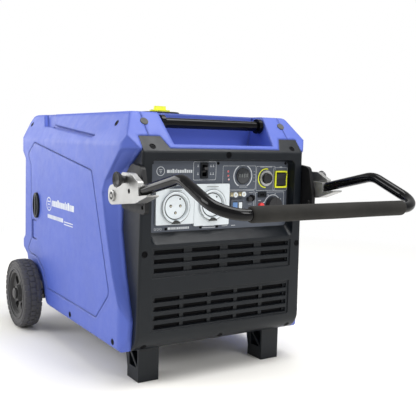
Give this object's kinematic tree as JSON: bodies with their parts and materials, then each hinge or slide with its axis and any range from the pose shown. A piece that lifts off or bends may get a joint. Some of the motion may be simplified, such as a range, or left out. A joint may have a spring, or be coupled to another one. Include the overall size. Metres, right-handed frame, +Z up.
{
  "type": "portable generator",
  "caption": "Enclosed inverter generator with outlets and vents on its front panel, a folding tow handle, a carry bar, rear wheels and front feet.",
  "frame": {"origin": "on the floor, under the middle of the whole machine's box", "axes": "+X to the machine's right, +Y from the control panel to the rear, +Z up"},
  "size_m": [0.636, 1.0954, 0.648],
  "materials": {
    "blue_plastic": "satin moulded",
    "black_plastic": "fine grain",
    "panel_plastic": "satin film",
    "black_tube": "gloss powder coat",
    "bracket_steel": "satin black",
    "bright_steel": "brushed",
    "black_screw": "black oxide",
    "grey_rubber": "matte",
    "white_plastic": "semi-gloss",
    "display_lens": "gloss window",
    "lamp_plastic": "clear lamp",
    "knob_plastic": "satin",
    "yellow_plastic": "satin",
    "red_plastic": "gloss",
    "brass_plate": "plated",
    "cast_aluminium": "die cast, bead blasted",
    "foam_rubber": "closed-cell foam",
    "hub_plastic": "moulded",
    "tyre_rubber": "block tread",
    "tank_plastic": "blow moulded",
    "engine_alloy": "as cast",
    "iron_core": "laminated",
    "muffler_steel": "heat dulled"
  },
  "bodies": {
    "root": {"air_filter_box": "black_plastic", "axle": "bright_steel", "axle_brackets": "bracket_steel", "base_tray": "black_plastic", "battery": "black_plastic", "breaker_housing": "black_plastic", "carburettor": "engine_alloy", "carry_bar": "black_tube", "carry_bar_flanges": "black_tube", "case_screws": "black_screw", "control_panel": "panel_plastic", "cylinder_head": "engine_alloy", "dc_outlet": "panel_plastic", "display": "display_lens", "earth_terminals": "brass_plate", "engine_block": "engine_alloy", "engine_mounts": "grey_rubber", "filler_neck": "bright_steel", "front_feet": "black_plastic", "front_shell": "black_plastic", "fuel_tank": "tank_plastic", "handle_brackets": "bracket_steel", "indicator_lights": "lamp_plastic", "inverter_module": "engine_alloy", "left_outlet": "white_plastic", "left_side_shell": "blue_plastic", "muffler": "muffler_steel", "rear_grille": "black_plastic", "rear_shell": "blue_plastic", "right_outlet": "white_plastic", "right_side_shell": "blue_plastic", "slope_plugs": "grey_rubber", "stator": "iron_core", "switch_frame": "yellow_plastic", "throttle_ring": "bright_steel", "top_cover": "blue_plastic", "usb_port": "black_plastic"},
    "tow_handle": {"handle_levers": "cast_aluminium", "handle_tube": "black_tube", "foam_grip": "foam_rubber", "lever_screws": "black_screw"},
    "left_lock": {"left_lock_knob": "knob_plastic"},
    "right_lock": {"right_lock_knob": "knob_plastic"},
    "left_wheel": {"left_wheel_hub": "hub_plastic", "left_tyre": "tyre_rubber"},
    "right_wheel": {"right_wheel_hub": "hub_plastic", "right_tyre": "tyre_rubber"},
    "fuel_cap": {"fuel_cap": "black_plastic"},
    "vent_lever": {"cap_vent_lever": "yellow_plastic"},
    "throttle_knob": {"throttle_knob": "knob_plastic"},
    "voltage_knob": {"voltage_knob": "knob_plastic"},
    "run_switch": {"run_switch": "knob_plastic"},
    "breaker_toggle": {"breaker_toggle": "knob_plastic"},
    "reset_button": {"reset_button": "knob_plastic"},
    "start_button": {"start_button": "red_plastic"},
    "left_door": {"left_service_door": "blue_plastic"},
    "right_door": {"right_service_door": "blue_plastic"},
    "left_latch": {"left_door_latch": "black_plastic"},
    "right_latch": {"right_door_latch": "black_plastic"},
    "crankshaft": {"crankshaft": "iron_core"}
  },
  "joints": [
    {"name": "handle_fold", "type": "hinge", "parent": "root", "child": "tow_handle", "pos_m": [0, -0.127, 0.434], "axis": [1, 0, 0], "range_deg": [0, 75]},
    {"name": "left_lock_pull", "type": "slide", "parent": "tow_handle", "child": "left_lock", "axis": [-1, 0, 0], "range_m": [0, 0.008], "stiffness_N_per_m": 600},
    {"name": "right_lock_pull", "type": "slide", "parent": "tow_handle", "child": "right_lock", "axis": [1, 0, 0], "range_m": [0, 0.008], "stiffness_N_per_m": 600},
    {"name": "left_wheel_spin", "type": "hinge", "parent": "root", "child": "left_wheel", "pos_m": [0, 0.432, 0.1], "axis": [1, 0, 0], "continuous": true},
    {"name": "right_wheel_spin", "type": "hinge", "parent": "root", "child": "right_wheel", "pos_m": [0, 0.432, 0.1], "axis": [1, 0, 0], "continuous": true},
    {"name": "fuel_cap_turn", "type": "hinge", "parent": "root", "child": "fuel_cap", "pos_m": [0, 0.151, 0.62], "axis": [0, 0, 1], "range_deg": [0, 90]},
    {"name": "vent_lever_turn", "type": "hinge", "parent": "fuel_cap", "child": "vent_lever", "pos_m": [0, 0.151, 0.63], "axis": [0, 0, 1], "range_deg": [0, 90]},
    {"name": "throttle_knob_turn", "type": "hinge", "parent": "root", "child": "throttle_knob", "pos_m": [0.1285, -0.163, 0.471], "axis": [0, 1, 0], "range_deg": [-60, 60]},
    {"name": "voltage_knob_turn", "type": "hinge", "parent": "root", "child": "voltage_knob", "pos_m": [0.152, -0.163, 0.404], "axis": [0, 1, 0], "range_deg": [-60, 60]},
    {"name": "run_switch_rock", "type": "hinge", "parent": "root", "child": "run_switch", "pos_m": [0.1745, -0.162, 0.468], "axis": [-1, 0, 0], "range_deg": [0, 12]},
    {"name": "breaker_toggle_flip", "type": "hinge", "parent": "root", "child": "breaker_toggle", "pos_m": [-0.052, -0.159, 0.49], "axis": [1, 0, 0], "range_deg": [0, 40]},
    {"name": "reset_button_press", "type": "slide", "parent": "root", "child": "reset_button", "axis": [0, 1, 0], "range_m": [0, 0.003], "stiffness_N_per_m": 400},
    {"name": "start_button_press", "type": "slide", "parent": "root", "child": "start_button", "axis": [0, 1, 0], "range_m": [0, 0.003], "stiffness_N_per_m": 400},
    {"name": "left_door_lift", "type": "slide", "parent": "root", "child": "left_door", "axis": [-1, 0, 0], "range_m": [0, 0.06]},
    {"name": "right_door_lift", "type": "slide", "parent": "root", "child": "right_door", "axis": [1, 0, 0], "range_m": [0, 0.06]},
    {"name": "left_latch_turn", "type": "hinge", "parent": "left_door", "child": "left_latch", "pos_m": [-0.26, 0.405, 0.36], "axis": [1, 0, 0], "range_deg": [0, 90]},
    {"name": "right_latch_turn", "type": "hinge", "parent": "right_door", "child": "right_latch", "pos_m": [0.26, 0.405, 0.36], "axis": [-1, 0, 0], "range_deg": [0, 90]},
    {"name": "crankshaft_spin", "type": "hinge", "parent": "root", "child": "crankshaft", "pos_m": [0, 0.213, 0.215], "axis": [0, 1, 0], "continuous": true}
  ]
}
